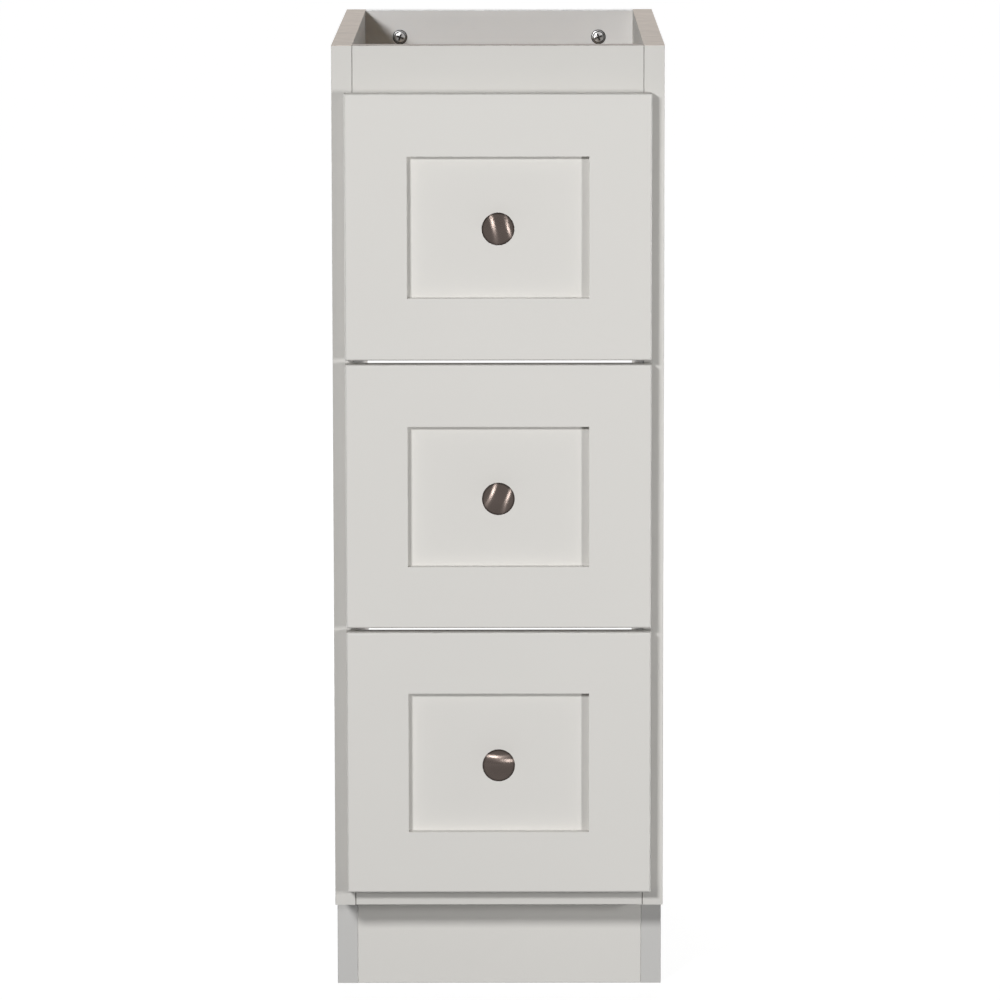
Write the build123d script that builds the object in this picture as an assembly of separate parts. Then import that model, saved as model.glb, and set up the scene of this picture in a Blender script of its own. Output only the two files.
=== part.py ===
from build123d import *
import os

# Vanity drawer base: an open-backed painted case with three drawers on ball-bearing slides.
# Millimetres. X runs across the width, -Y is the front, +Z is up, and the floor is Z = 0.

# Case
case_width = 304.8
case_depth = 533.4
case_height = 889.0
board = 19.05
toe_height = 88.9
toe_recess = 63.5
rail_height = 76.2
rear_top_rail_height = 101.6
board_ease = 0.8

# Drawer fronts
drawer_names = ["bottom", "middle", "top"]
drawer_count = len(drawer_names)
top_reveal = 42.86
bottom_reveal = 15.88
front_gap = 3.97
side_reveal = 11.9
front_thickness = 19.05
front_standoff = 1.6
frame_width = 57.15
panel_thickness = 6.35
panel_recess = 9.53
groove_depth = 9.5
panel_float = 1.0
tenon_shoulder = 12.0
front_ease = 2.0
groove_fit = 0.1
same_place = 0.01

# Drawer boxes
box_board = 12.7
box_height = 152.4
box_length = 457.2
box_rise = 9.53
box_bottom_thickness = 6.35
box_bottom_rise = 12.7
box_groove_depth = 6.35
tail_count = 4
tail_share = 0.62
tail_slope = 0.14

# Slides, three nested channels on each side of a box
slide_space = 12.7
slide_shortfall = 7.2
slide_setback = 3.0
slide_rise = 60.0
steel = 1.2
case_channel_height = 45.0
case_channel_reach = 9.6
case_channel_lip = 3.0
float_channel_height = 35.0
float_channel_start = 3.0
float_channel_end = 11.0
float_channel_lip = 2.8
drawer_channel_height = 24.0
drawer_channel_start = 5.2
ball_clearance = 0.1
ball_lip_space = 0.3
ball_count = 8
ball_pitch = 26.0
cage_margin = 14.0
cage_width = 2.0
cage_thickness = 0.8
cage_end = 8.0

# Knobs
knob_diameter = 30.0
knob_projection = 25.4
knob_base_diameter = 15.0
knob_neck_diameter = 11.0
knob_base_height = 2.0
knob_neck_height = 9.0
knob_rim_height = 21.2
knob_rim_round = 0.6
knob_thread_depth = 12.0
knob_screw_bite = 9.0

# Fasteners and small pieces
dowel_diameter = 8.0
dowel_length = 30.0
dowel_side_depth = 11.0
dowel_end_space = 1.0
dowel_edge = 19.0
deck_dowel_inset = 64.0
screw_diameter = 4.0
screw_fit = 0.1
drill_overshoot = 1.0
screw_point = 4.0
screw_tip_radius = 0.2
pan_head_diameter = 8.0
pan_head_height = 2.4
pan_head_round = 1.1
flat_head_height = 1.0
flat_head_round = 0.4
front_screw_bite = 13.0
front_screw_inset = 11.0
front_screw_edge = 30.0
slide_screw_bite = 10.0
case_screw_bite = 14.0
slide_screw_margin = 40.0
rail_screw_spread = 198.0
rail_screw_drop = 26.5
rail_screw_length = 16.0
rail_screw_turn = 20.0
washer_diameter = 14.5
washer_thickness = 1.2
washer_round = 0.5
rail_head_diameter = 9.0
rail_head_height = 2.8
rail_head_round = 1.1
recess_width = 1.5
recess_depth = 1.3
recess_floor = 0.3
recess_arm_share = 0.6
bumper_diameter = 6.4
bumper_thickness = 1.4
bumper_edge = 20.0

# Derived places
half_width = case_width / 2
inner_half = half_width - board
overall_depth = case_depth + front_standoff + front_thickness - panel_recess + knob_projection
rear_y = overall_depth / 2
case_front_y = rear_y - case_depth
front_back_y = case_front_y - front_standoff
front_face_y = front_back_y - front_thickness
panel_face_y = front_face_y + panel_recess
panel_back_y = panel_face_y + panel_thickness
front_width = case_width - 2 * side_reveal
front_half = front_width / 2
fronts_total = case_height - toe_height - top_reveal - bottom_reveal
front_height = (fronts_total - (drawer_count - 1) * front_gap) / drawer_count
deck_top = toe_height + board
box_half = inner_half - slide_space
box_inner_half = box_half - box_board
box_rear_y = front_back_y + box_length
slide_length = box_length - slide_shortfall
slide_front_y = case_front_y + slide_setback
slide_rear_y = slide_front_y + slide_length
hole_radius = screw_diameter / 2 + screw_fit

nodes = {}


def block(x0, x1, y0, y1, z0, z1):
    centre = Pos((x0 + x1) / 2, (y0 + y1) / 2, (z0 + z1) / 2)
    return centre * Box(x1 - x0, y1 - y0, z1 - z0)


def rod_x(x0, x1, y, z, radius):
    return Pos((x0 + x1) / 2, y, z) * Rot(0, 90, 0) * Cylinder(radius, abs(x1 - x0))


def rod_y(x, y0, y1, z, radius):
    return Pos(x, (y0 + y1) / 2, z) * Rot(90, 0, 0) * Cylinder(radius, abs(y1 - y0))


def near(value, target):
    return abs(value - target) < same_place


def edges_on_front(solid, y):
    return [e for e in solid.edges() if near(e.bounding_box().min.Y, y) and near(e.bounding_box().max.Y, y)]


def eased_board(x0, x1, y0, y1, z0, z1):
    # A board whose four front edges are eased, so that butted boards meet in a fine dark line
    raw = block(x0, x1, y0, y1, z0, z1)
    return fillet(edges_on_front(raw, y0), board_ease)


def screw(head_diameter, head_height, head_round, length, washer=False):
    # Head above Z = 0, shank below it, with a cross recess in the head
    on_floor = (Align.CENTER, Align.CENTER, Align.MIN)
    head = Cylinder(head_diameter / 2, head_height, align=on_floor)
    head = fillet(head.edges().group_by(Axis.Z)[-1], head_round)
    if washer:
        disc = Cylinder(washer_diameter / 2, washer_thickness, align=on_floor)
        head = head + fillet(disc.edges().group_by(Axis.Z)[-1], washer_round)
    depth = min(recess_depth, head_height - recess_floor)
    arm = head_diameter * recess_arm_share
    cross = Box(arm, recess_width, 2 * depth) + Box(recess_width, arm, 2 * depth)
    head = head - Pos(0, 0, head_height) * cross
    straight = length - screw_point
    shank = Pos(0, 0, -straight / 2) * Cylinder(screw_diameter / 2, straight)
    point = Cone(screw_tip_radius, screw_diameter / 2, screw_point)
    return head + shank + Pos(0, 0, -straight - screw_point / 2) * point


def dowel_places():
    # Y and Z of every dowel in one side panel, read from the rail or deck that it holds
    front_rail_y = case_front_y + board / 2
    rear_rail_y = rear_y - board / 2
    kick_y = case_front_y + toe_recess + board / 2
    places = []
    for z in (case_height - dowel_edge, case_height - rail_height + dowel_edge):
        places.append((front_rail_y, z))
    for z in (case_height - dowel_edge, case_height - rear_top_rail_height + dowel_edge):
        places.append((rear_rail_y, z))
    for z in (deck_top + dowel_edge, deck_top + rail_height - dowel_edge):
        places.append((rear_rail_y, z))
    for y in (case_front_y + deck_dowel_inset, rear_y - case_depth / 2, rear_y - deck_dowel_inset):
        places.append((y, toe_height + board / 2))
    for z in (dowel_edge, toe_height - dowel_edge):
        places.append((kick_y, z))
    return places


def dowel_ends(sign):
    # Dowel X range, then the range of the hole drilled for it
    outer = sign * (inner_half + dowel_side_depth - dowel_end_space)
    inner = sign * (inner_half + dowel_side_depth - dowel_end_space - dowel_length)
    hole_outer = sign * (inner_half + dowel_side_depth)
    hole_inner = inner - sign * dowel_end_space
    return outer, inner, hole_outer, hole_inner


dowels = []
dowel_holes = []
for sign in (-1, 1):
    outer, inner, hole_outer, hole_inner = dowel_ends(sign)
    for y, z in dowel_places():
        dowels.append(rod_x(outer, inner, y, z, dowel_diameter / 2))
        dowel_holes.append(rod_x(hole_outer, hole_inner, y, z, dowel_diameter / 2 + groove_fit / 2))


def drilled(solid, holes):
    # Take away only the holes that reach this piece
    box = solid.bounding_box()
    for hole in holes:
        other = hole.bounding_box()
        apart_x = other.min.X > box.max.X or other.max.X < box.min.X
        apart_y = other.min.Y > box.max.Y or other.max.Y < box.min.Y
        apart_z = other.min.Z > box.max.Z or other.max.Z < box.min.Z
        if not (apart_x or apart_y or apart_z):
            solid = solid - hole
    return solid


# Heights of the three fronts and of the slides behind them
front_bottoms = []
slide_heights = []
for index in range(drawer_count):
    bottom = toe_height + bottom_reveal + index * (front_height + front_gap)
    front_bottoms.append(bottom)
    slide_heights.append(bottom + box_rise + slide_rise)

# Screws that hold the case channels to the side panels
case_screw_ys = [
    slide_front_y + slide_screw_margin,
    slide_front_y + slide_length / 2,
    slide_rear_y - slide_screw_margin,
]
case_screws = []
case_screw_holes = []
flat_screw = screw(pan_head_diameter, flat_head_height, flat_head_round, case_screw_bite + steel)
for sign in (-1, 1):
    turn = Rot(0, -90 * sign, 0)
    seat_x = sign * (inner_half - steel)
    for z in slide_heights:
        for y in case_screw_ys:
            case_screws.append(Pos(seat_x, y, z) * turn * flat_screw)
            tip_x = sign * (inner_half + case_screw_bite + screw_fit)
            case_screw_holes.append(rod_x(seat_x - sign * drill_overshoot, tip_x, y, z, hole_radius))


def side_panel(sign):
    x0 = min(sign * half_width, sign * inner_half)
    outline = [
        (case_front_y, toe_height),
        (case_front_y + toe_recess, toe_height),
        (case_front_y + toe_recess, 0),
        (rear_y, 0),
        (rear_y, case_height),
        (case_front_y, case_height),
    ]
    face = Plane.YZ.offset(x0) * Polygon(*outline, align=None)
    panel = extrude(face, amount=board, dir=(1, 0, 0))
    soft = edges_on_front(panel, case_front_y) + edges_on_front(panel, case_front_y + toe_recess)
    upright = [e for e in soft if near(e.bounding_box().size.X, 0)]
    panel = fillet(upright, board_ease)
    return drilled(panel, dowel_holes + case_screw_holes)


nodes["left_side_panel"] = [side_panel(-1)]
nodes["right_side_panel"] = [side_panel(1)]

deck = eased_board(-inner_half, inner_half, case_front_y, rear_y, toe_height, deck_top)
nodes["case_bottom"] = [drilled(deck, dowel_holes)]

front_rail_bottom = case_height - rail_height
front_rail = eased_board(
    -inner_half, inner_half, case_front_y, case_front_y + board, front_rail_bottom, case_height)
nodes["front_top_rail"] = [drilled(front_rail, dowel_holes)]

rail_screw_z = case_height - rail_screw_drop
rail_screw_holes = []
rail_screws = []
rear_rail_face_y = rear_y - board
washer_screw = screw(rail_head_diameter, rail_head_height, rail_head_round, rail_screw_length, True)
for sign in (-1, 1):
    x = sign * rail_screw_spread / 2
    end_y = rear_rail_face_y + rail_screw_length + screw_fit
    start_y = rear_rail_face_y - drill_overshoot
    rail_screw_holes.append(rod_y(x, start_y, end_y, rail_screw_z, hole_radius))
    turn = Rot(90, 0, rail_screw_turn * sign)
    rail_screws.append(Pos(x, rear_rail_face_y, rail_screw_z) * turn * washer_screw)
rear_rail_bottom = case_height - rear_top_rail_height
rear_rail = eased_board(-inner_half, inner_half, rear_rail_face_y, rear_y, rear_rail_bottom, case_height)
nodes["rear_top_rail"] = [drilled(rear_rail, dowel_holes + rail_screw_holes)]
nodes["rear_rail_screws"] = rail_screws

lower_rail = eased_board(
    -inner_half, inner_half, rear_rail_face_y, rear_y, deck_top, deck_top + rail_height)
nodes["rear_lower_rail"] = [drilled(lower_rail, dowel_holes)]

kick_y = case_front_y + toe_recess
kick = eased_board(-inner_half, inner_half, kick_y, kick_y + board, 0, toe_height)
nodes["toe_kick_board"] = [drilled(kick, dowel_holes)]
nodes["carcass_dowels"] = dowels
nodes["case_slide_screws"] = case_screws

# Soft pads on the front edges of the sides, where the closed fronts come to rest
bumper_x = (inner_half + front_half) / 2
bumpers = []
for sign in (-1, 1):
    for bottom in front_bottoms:
        for z in (bottom + bumper_edge, bottom + front_height - bumper_edge):
            bumpers.append(rod_y(
                sign * bumper_x, case_front_y - bumper_thickness, case_front_y, z, bumper_diameter / 2))
nodes["front_bumpers"] = bumpers


def channel(sign, near_s, far_s, height, lip, z, opens_inward):
    # One slide channel; S is the distance from the side panel, and the web is at near_s or at far_s
    half = height / 2
    web_s = near_s if opens_inward else far_s - steel
    lip_s = far_s - steel if opens_inward else near_s
    strips = [
        (web_s, web_s + steel, -half, half),
        (near_s, far_s, half - steel, half),
        (near_s, far_s, -half, -half + steel),
    ]
    if lip > 0:
        strips.append((lip_s, lip_s + steel, half - steel - lip, half))
        strips.append((lip_s, lip_s + steel, -half, -half + steel + lip))
    solid = None
    for s0, s1, z0, z1 in strips:
        x_pair = sorted((sign * (inner_half - s0), sign * (inner_half - s1)))
        strip = block(x_pair[0], x_pair[1], slide_front_y, slide_rear_y, z + z0, z + z1)
        solid = strip if solid is None else solid + strip
    return solid


def ball_cage(sign, centre_s, centre_z, diameter, first_y):
    # A strip with one row of balls in it
    x = sign * (inner_half - centre_s)
    last_y = first_y + (ball_count - 1) * ball_pitch
    half_w = cage_width / 2
    half_t = cage_thickness / 2
    solid = block(
        x - half_w, x + half_w, first_y - cage_end, last_y + cage_end,
        centre_z - half_t, centre_z + half_t)
    for number in range(ball_count):
        solid = solid + Pos(x, first_y + number * ball_pitch, centre_z) * Sphere(diameter / 2)
    return solid


case_half = case_channel_height / 2
float_half = float_channel_height / 2
drawer_half = drawer_channel_height / 2
outer_gap = case_half - steel - float_half
inner_gap = float_half - steel - drawer_half
outer_ball_z = float_half + outer_gap / 2
inner_ball_z = drawer_half + inner_gap / 2
outer_ball = outer_gap - 2 * ball_clearance
inner_ball = inner_gap - 2 * ball_clearance
outer_ball_s = case_channel_reach - steel - ball_lip_space - outer_ball / 2
inner_ball_s = float_channel_end - steel - ball_lip_space - inner_ball / 2
cage_run = (ball_count - 1) * ball_pitch
inner_cage_y = slide_front_y + cage_margin
outer_cage_y = slide_rear_y - cage_margin - cage_run

case_channels = []
for z in slide_heights:
    for sign in (-1, 1):
        rail = channel(sign, 0, case_channel_reach, case_channel_height, case_channel_lip, z, True)
        case_channels.append(drilled(rail, case_screw_holes))
nodes["case_slides"] = case_channels


def front_stile(sign, bottom):
    x_pair = sorted((sign * front_half, sign * (front_half - frame_width)))
    top = bottom + front_height
    raw = block(x_pair[0], x_pair[1], front_face_y, front_back_y, bottom, top)
    inner_x = sign * (front_half - frame_width)
    soft = []
    for y in (front_face_y, front_back_y):
        for e in edges_on_front(raw, y):
            at_inner = near(e.bounding_box().min.X, inner_x) and near(e.bounding_box().max.X, inner_x)
            if not at_inner:
                soft.append(e)
    solid = fillet(soft, front_ease)
    groove_x = sorted((inner_x, inner_x + sign * groove_depth))
    groove = block(
        groove_x[0], groove_x[1], panel_face_y - groove_fit / 2, panel_back_y + groove_fit / 2,
        bottom + tenon_shoulder, top - tenon_shoulder)
    return solid - groove


def front_rail_piece(bottom, upper):
    # A rail of the drawer front with a stub tenon at each end and a groove for the panel
    top = bottom + front_height
    inner = front_half - frame_width
    z0 = top - frame_width if upper else bottom
    z1 = top if upper else bottom + frame_width
    raw = block(-inner, inner, front_face_y, front_back_y, z0, z1)
    outer_z = top if upper else bottom
    soft = []
    for y in (front_face_y, front_back_y):
        for e in edges_on_front(raw, y):
            if near(e.bounding_box().min.Z, outer_z) and near(e.bounding_box().max.Z, outer_z):
                soft.append(e)
    solid = fillet(soft, front_ease)
    inner_z = z0 if upper else z1
    away = 1 if upper else -1
    groove_z = sorted((inner_z, inner_z + away * groove_depth))
    solid = solid - block(
        -inner, inner, panel_face_y - groove_fit / 2, panel_back_y + groove_fit / 2, groove_z[0], groove_z[1])
    tenon_z = sorted((inner_z + away * groove_depth, outer_z - away * tenon_shoulder))
    tenon_reach = inner + groove_depth - panel_float
    tenon = block(-tenon_reach, tenon_reach, panel_face_y, panel_back_y, tenon_z[0], tenon_z[1])
    return solid + tenon


def tails(sign, end_y, inward, bottom):
    # The dovetails at one end of a box side; they widen towards the end of the board
    x0 = min(sign * box_half, sign * box_inner_half)
    pitch = box_height / tail_count
    wide = pitch * tail_share / 2
    narrow = wide - box_board * tail_slope
    shoulder_y = end_y + inward * box_board
    pieces = []
    for number in range(tail_count):
        z = bottom + (number + 0.5) * pitch
        outline = [(end_y, z - wide), (end_y, z + wide), (shoulder_y, z + narrow), (shoulder_y, z - narrow)]
        face = Plane.YZ.offset(x0) * Polygon(*outline, align=None)
        pieces.append(extrude(face, amount=box_board, dir=(1, 0, 0)))
    return pieces


def knob_solid():
    # Turned about Z with its foot on Z = 0: foot, waist, flare, rim and dome
    foot = knob_base_diameter / 2
    waist = knob_neck_diameter / 2
    rim = knob_diameter / 2
    under_rim = rim - knob_rim_round
    flare_z = knob_rim_height - 2 * knob_rim_round
    outline = Polyline((0, 0), (foot, 0), (foot, knob_base_height), (waist, 2 * knob_base_height))
    outline += Line((waist, 2 * knob_base_height), (waist, knob_neck_height))
    outline += TangentArc((waist, knob_neck_height), (under_rim, flare_z), tangent=(0, 1))
    outline += Polyline((under_rim, flare_z), (rim, knob_rim_height - knob_rim_round), (rim, knob_rim_height))
    outline += TangentArc((0, knob_projection), (rim, knob_rim_height), tangent=(1, 0))
    outline += Line((0, knob_projection), (0, 0))
    turned = revolve(Plane.XZ * make_face(outline), Axis.Z)
    on_floor = (Align.CENTER, Align.CENTER, Align.MIN)
    thread = Cylinder(hole_radius, knob_thread_depth, align=on_floor)
    return turned - thread


knob_shape = knob_solid()
front_screw = screw(pan_head_diameter, pan_head_height, pan_head_round, box_board + front_screw_bite)
slide_screw = screw(pan_head_diameter, flat_head_height, flat_head_round, steel + slide_screw_bite)
knob_screw_length = box_board + front_back_y - panel_face_y + knob_screw_bite
knob_screw = screw(pan_head_diameter, pan_head_height, pan_head_round, knob_screw_length)
box_front_y = front_back_y + box_board
box_back_y = box_rear_y - box_board

for index in range(drawer_count):
    name = drawer_names[index]
    bottom = front_bottoms[index]
    top = bottom + front_height
    centre_z = (bottom + top) / 2
    box_bottom = bottom + box_rise
    box_top = box_bottom + box_height
    slide_z = slide_heights[index]

    # Places of the screws and the holes for them
    front_screw_x = box_inner_half - front_screw_inset
    drawer_screws = []
    holes = []
    for sign in (-1, 1):
        for z in (box_bottom + front_screw_edge, box_top - front_screw_edge):
            x = sign * front_screw_x
            drawer_screws.append(Pos(x, box_front_y, z) * Rot(-90, 0, 0) * front_screw)
            tip_y = front_back_y - front_screw_bite - screw_fit
            holes.append(rod_y(x, tip_y, box_front_y + drill_overshoot, z, hole_radius))
        seat_x = sign * (box_half + steel)
        for y in (slide_front_y + slide_screw_margin, slide_rear_y - slide_screw_margin):
            drawer_screws.append(Pos(seat_x, y, slide_z) * Rot(0, 90 * sign, 0) * slide_screw)
            tip_x = sign * (box_half - slide_screw_bite - screw_fit)
            holes.append(rod_x(seat_x + sign * drill_overshoot, tip_x, y, slide_z, hole_radius))
    holes.append(rod_y(
        0, panel_face_y - drill_overshoot, box_front_y + drill_overshoot, centre_z, hole_radius))

    # Front: two stiles, two rails and the panel that floats in their grooves
    panel_half = front_half - frame_width + groove_depth - panel_float
    nodes[name + "_left_stile"] = [drilled(front_stile(-1, bottom), holes)]
    nodes[name + "_right_stile"] = [drilled(front_stile(1, bottom), holes)]
    for upper, label in ((True, "_upper_rail"), (False, "_lower_rail")):
        nodes[name + label] = [front_rail_piece(bottom, upper)]
    panel_z0 = bottom + frame_width - groove_depth + panel_float
    panel_z1 = top - frame_width + groove_depth - panel_float
    centre_panel = block(-panel_half, panel_half, panel_face_y, panel_back_y, panel_z0, panel_z1)
    nodes[name + "_centre_panel"] = [drilled(centre_panel, holes)]

    # Box: dovetailed sides, front and back, with a bottom let into grooves all round
    floor_z0 = box_bottom + box_bottom_rise
    floor_z1 = floor_z0 + box_bottom_thickness
    reach_x = box_inner_half + box_groove_depth - panel_float
    reach_y0 = box_front_y - box_groove_depth + panel_float
    reach_y1 = box_back_y + box_groove_depth - panel_float
    floor = block(-reach_x, reach_x, reach_y0, reach_y1, floor_z0, floor_z1)
    pocket = block(
        -reach_x - panel_float, reach_x + panel_float, reach_y0 - panel_float, reach_y1 + panel_float,
        floor_z0 - groove_fit / 2, floor_z1 + groove_fit / 2)
    box_front = block(-box_half, box_half, front_back_y, box_front_y, box_bottom, box_top)
    box_back = block(-box_half, box_half, box_back_y, box_rear_y, box_bottom, box_top)
    for sign, label in ((-1, "_box_left_side"), (1, "_box_right_side")):
        x_pair = sorted((sign * box_half, sign * box_inner_half))
        side = block(x_pair[0], x_pair[1], box_front_y, box_back_y, box_bottom, box_top)
        for tail in tails(sign, front_back_y, 1, box_bottom):
            side = side + tail
            box_front = box_front - tail
        for tail in tails(sign, box_rear_y, -1, box_bottom):
            side = side + tail
            box_back = box_back - tail
        nodes[name + label] = [drilled(side - pocket, holes)]
    nodes[name + "_box_front"] = [drilled(box_front - pocket, holes)]
    nodes[name + "_box_back"] = [box_back - pocket]
    nodes[name + "_box_bottom"] = [floor]

    # Knob and the screw that draws it against the panel
    nodes[name + "_knob"] = [Pos(0, panel_face_y, centre_z) * Rot(90, 0, 0) * knob_shape]
    nodes[name + "_knob_screw"] = [Pos(0, box_front_y, centre_z) * Rot(-90, 0, 0) * knob_screw]
    nodes[name + "_drawer_screws"] = drawer_screws

    # Moving slide channels and the ball cages between them
    drawer_channels = []
    float_channels = []
    cages = []
    for sign in (-1, 1):
        inner_rail = channel(
            sign, drawer_channel_start, slide_space, drawer_channel_height, 0, slide_z, False)
        drawer_channels.append(drilled(inner_rail, holes))
        float_channels.append(channel(
            sign, float_channel_start, float_channel_end, float_channel_height,
            float_channel_lip, slide_z, True))
        for up in (-1, 1):
            cages.append(ball_cage(sign, outer_ball_s, slide_z + up * outer_ball_z, outer_ball, outer_cage_y))
            cages.append(ball_cage(sign, inner_ball_s, slide_z + up * inner_ball_z, inner_ball, inner_cage_y))
    nodes[name + "_drawer_slides"] = drawer_channels
    nodes[name + "_floating_slides"] = float_channels
    nodes[name + "_ball_cages"] = cages

os.makedirs("parts", exist_ok=True)
for node_name, solids in nodes.items():
    flat = []
    for solid in solids:
        flat.extend(solid.solids())
    shape = flat[0] if len(flat) == 1 else Compound(flat)
    export_step(shape, "parts/" + node_name + ".step")
print(len(nodes), "nodes written")
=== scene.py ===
# %% [markdown]
# # Dressing a narrow vanity base with three drawers
# The cabinet is an open-topped, open-backed case of painted boards. Three shaker drawer fronts hang on
# dovetailed boxes, the boxes run on ball-bearing slides, and each front has one turned metal knob.
# The construction model already has the true shape and size of every board, so it is loaded as a fixed
# frame. Blender then adds what a drawing can't hold: the sprayed paint, the grain, the brushed metal,
# and the small turned and rolled pieces whose detail is finer than the construction needs.

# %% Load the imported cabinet
import math
import bmesh
import bpy
from mathutils import Euler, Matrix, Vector


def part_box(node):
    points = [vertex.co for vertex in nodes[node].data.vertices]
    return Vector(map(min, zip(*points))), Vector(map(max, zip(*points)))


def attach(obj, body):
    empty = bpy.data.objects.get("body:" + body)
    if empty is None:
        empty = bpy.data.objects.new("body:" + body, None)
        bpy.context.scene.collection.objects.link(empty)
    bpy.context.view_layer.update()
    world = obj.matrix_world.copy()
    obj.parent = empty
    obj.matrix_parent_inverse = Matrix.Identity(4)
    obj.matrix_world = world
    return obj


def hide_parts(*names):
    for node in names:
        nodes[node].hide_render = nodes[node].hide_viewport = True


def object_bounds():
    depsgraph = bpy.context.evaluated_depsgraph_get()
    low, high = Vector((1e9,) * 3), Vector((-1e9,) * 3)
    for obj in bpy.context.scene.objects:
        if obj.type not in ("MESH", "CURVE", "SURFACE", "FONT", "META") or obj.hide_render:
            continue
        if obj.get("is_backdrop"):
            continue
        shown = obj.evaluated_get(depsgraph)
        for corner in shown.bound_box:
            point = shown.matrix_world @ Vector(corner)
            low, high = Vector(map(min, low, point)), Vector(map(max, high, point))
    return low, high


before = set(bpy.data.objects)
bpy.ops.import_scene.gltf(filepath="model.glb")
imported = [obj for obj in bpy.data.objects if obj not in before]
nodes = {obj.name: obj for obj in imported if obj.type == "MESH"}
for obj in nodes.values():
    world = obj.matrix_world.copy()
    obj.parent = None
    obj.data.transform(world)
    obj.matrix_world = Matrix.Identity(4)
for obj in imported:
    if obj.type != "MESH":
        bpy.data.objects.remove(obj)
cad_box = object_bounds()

drawers = ["bottom", "middle", "top"]
scene = bpy.context.scene
scene.view_settings.view_transform = "Standard"
print("boards and fittings loaded:", len(nodes))

# %% [markdown]
# ## Where the picture is taken from
# The cabinet was photographed from nearly six metres away with a long lens, a little above its top, so
# its upright edges stay almost parallel. A long focal length does the same here. The camera is placed by
# its measured position and turned by three small angles instead of being aimed at a target, because the
# slight tilt of the picture would be lost with a target.

# %% Camera
down_tilt = 8.204
roll = 0.074
sideways_turn = 0.125


def add_object(name, data):
    made = bpy.data.objects.new(name, data)
    scene.collection.objects.link(made)
    return made


camera_data = bpy.data.cameras.new("Long lens")
camera_data.lens = 216.27
camera_data.sensor_width = 36.0
camera_data.clip_end = 200.0
camera = add_object("Photograph camera", camera_data)
camera.location = (0.0144, -5.7336, 1.2606)
camera.rotation_euler = [math.radians(angle) for angle in (90 - down_tilt, roll, sideways_turn)]
scene.camera = camera
print("camera height", camera.location.z, "lens", camera_data.lens)

# %% [markdown]
# ## Building node trees in short steps
# Materials and Geometry Nodes are both node trees. One small helper adds a node, sets its options and
# either links an input or gives it a fixed value. That keeps every tree below readable as a list of steps.

# %% Helpers for node trees
def feed(tree, node, inputs):
    # Links an input to another node's output, or sets it to a fixed value
    for name, value in inputs.items():
        if isinstance(value, bpy.types.NodeSocket):
            tree.links.new(value, node.inputs[name])
        else:
            node.inputs[name].default_value = value


def put(tree, kind, inputs=None, **options):
    made = tree.nodes.new(kind)
    for name, value in options.items():
        setattr(made, name, value)
    feed(tree, made, inputs or {})
    return made


def fresh_tree(owner):
    owner.use_nodes = True
    owner.node_tree.nodes.clear()
    return owner.node_tree


def calculate(tree, operation, *values):
    return put(tree, "ShaderNodeMath", dict(enumerate(values)), operation=operation).outputs[0]


def blend_colours(tree, share, first, second):
    mixed = put(tree, "ShaderNodeMix", {0: share, 6: first, 7: second}, data_type="RGBA")
    return mixed.outputs[2]


def scale_colour(tree, colour, share):
    scaled = put(tree, "ShaderNodeVectorMath", {"Vector": colour, "Scale": share}, operation="SCALE")
    return scaled.outputs["Vector"]


def stretch(tree, value, span, new_span=(0.0, 1.0)):
    # Moves a value from one span of numbers to another, which is none to all for a mask
    ends = {0: value, 1: span[0], 2: span[1], 3: new_span[0], 4: new_span[1]}
    return put(tree, "ShaderNodeMapRange", ends).outputs[0]


def noise(tree, place, scale, detail):
    inputs = {"Vector": place, "Scale": scale, "Detail": detail}
    return put(tree, "ShaderNodeTexNoise", inputs).outputs["Fac"]


def scale_place(tree, place, scale):
    return put(tree, "ShaderNodeMapping", {"Vector": place, "Scale": scale}).outputs[0]


usual_noise = (0.3, 0.7)
print("node helpers ready; most of a noise lies between", usual_noise)

# %% [markdown]
# ## The white surroundings
# The photograph has a plain white ground. A white that came from more light would bleach the paint, so
# the world is white only where a ray from the camera, a reflection or clear rubber looks at it, and it
# gives the paint just a weak even fill.

# %% World
fill_strength = 0.01
white = (1.0, 1.0, 1.0, 1.0)


def seen_directly(tree):
    path = put(tree, "ShaderNodeLightPath")
    looks = calculate(tree, "ADD", path.outputs["Is Camera Ray"], path.outputs["Is Glossy Ray"])
    looks = calculate(tree, "ADD", looks, path.outputs["Is Transmission Ray"])
    return calculate(tree, "MINIMUM", looks, 1.0)


world = bpy.data.worlds.new("White room")
scene.world = world
tree = fresh_tree(world)
level = stretch(tree, seen_directly(tree), (0.0, 1.0), (fill_strength, 1.0))
light = put(tree, "ShaderNodeBackground", {"Color": white, "Strength": level})
put(tree, "ShaderNodeOutputWorld", {"Surface": light.outputs[0]})
print(world.name, "fills with", fill_strength)

# %% [markdown]
# ## The floor
# The floor works like the world: its own colour takes the shadow of the cabinet, and what the camera sees
# is lifted to white, fully so where no shadow reaches. A floor with no colour of its own would let the
# cabinet float.

# %% Floor
floor_colour = (0.16, 0.16, 0.16, 1.0)
floor_half = 30.0
lift_near = 0.92
lift_far = 1.0
shadow_reach = 0.8
white_reach = 2.2
floor_corners = [(x * floor_half, y * floor_half, 0) for x, y in ((-1, -1), (1, -1), (1, 1), (-1, 1))]
floor_mesh = bpy.data.meshes.new("Floor")
floor_mesh.from_pydata(floor_corners, [], [(0, 1, 2, 3)])
floor = add_object("Studio_floor", floor_mesh)
floor_paint = bpy.data.materials.new("Studio floor")
tree = fresh_tree(floor_paint)
matt = put(tree, "ShaderNodeBsdfDiffuse", {"Color": floor_colour})
place = put(tree, "ShaderNodeTexCoord").outputs["Object"]
from_cabinet = put(tree, "ShaderNodeVectorMath", {0: place}, operation="LENGTH").outputs["Value"]
white_share = stretch(tree, from_cabinet, (shadow_reach, white_reach), (lift_near, lift_far))
lift = calculate(tree, "MULTIPLY", seen_directly(tree), white_share)
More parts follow.
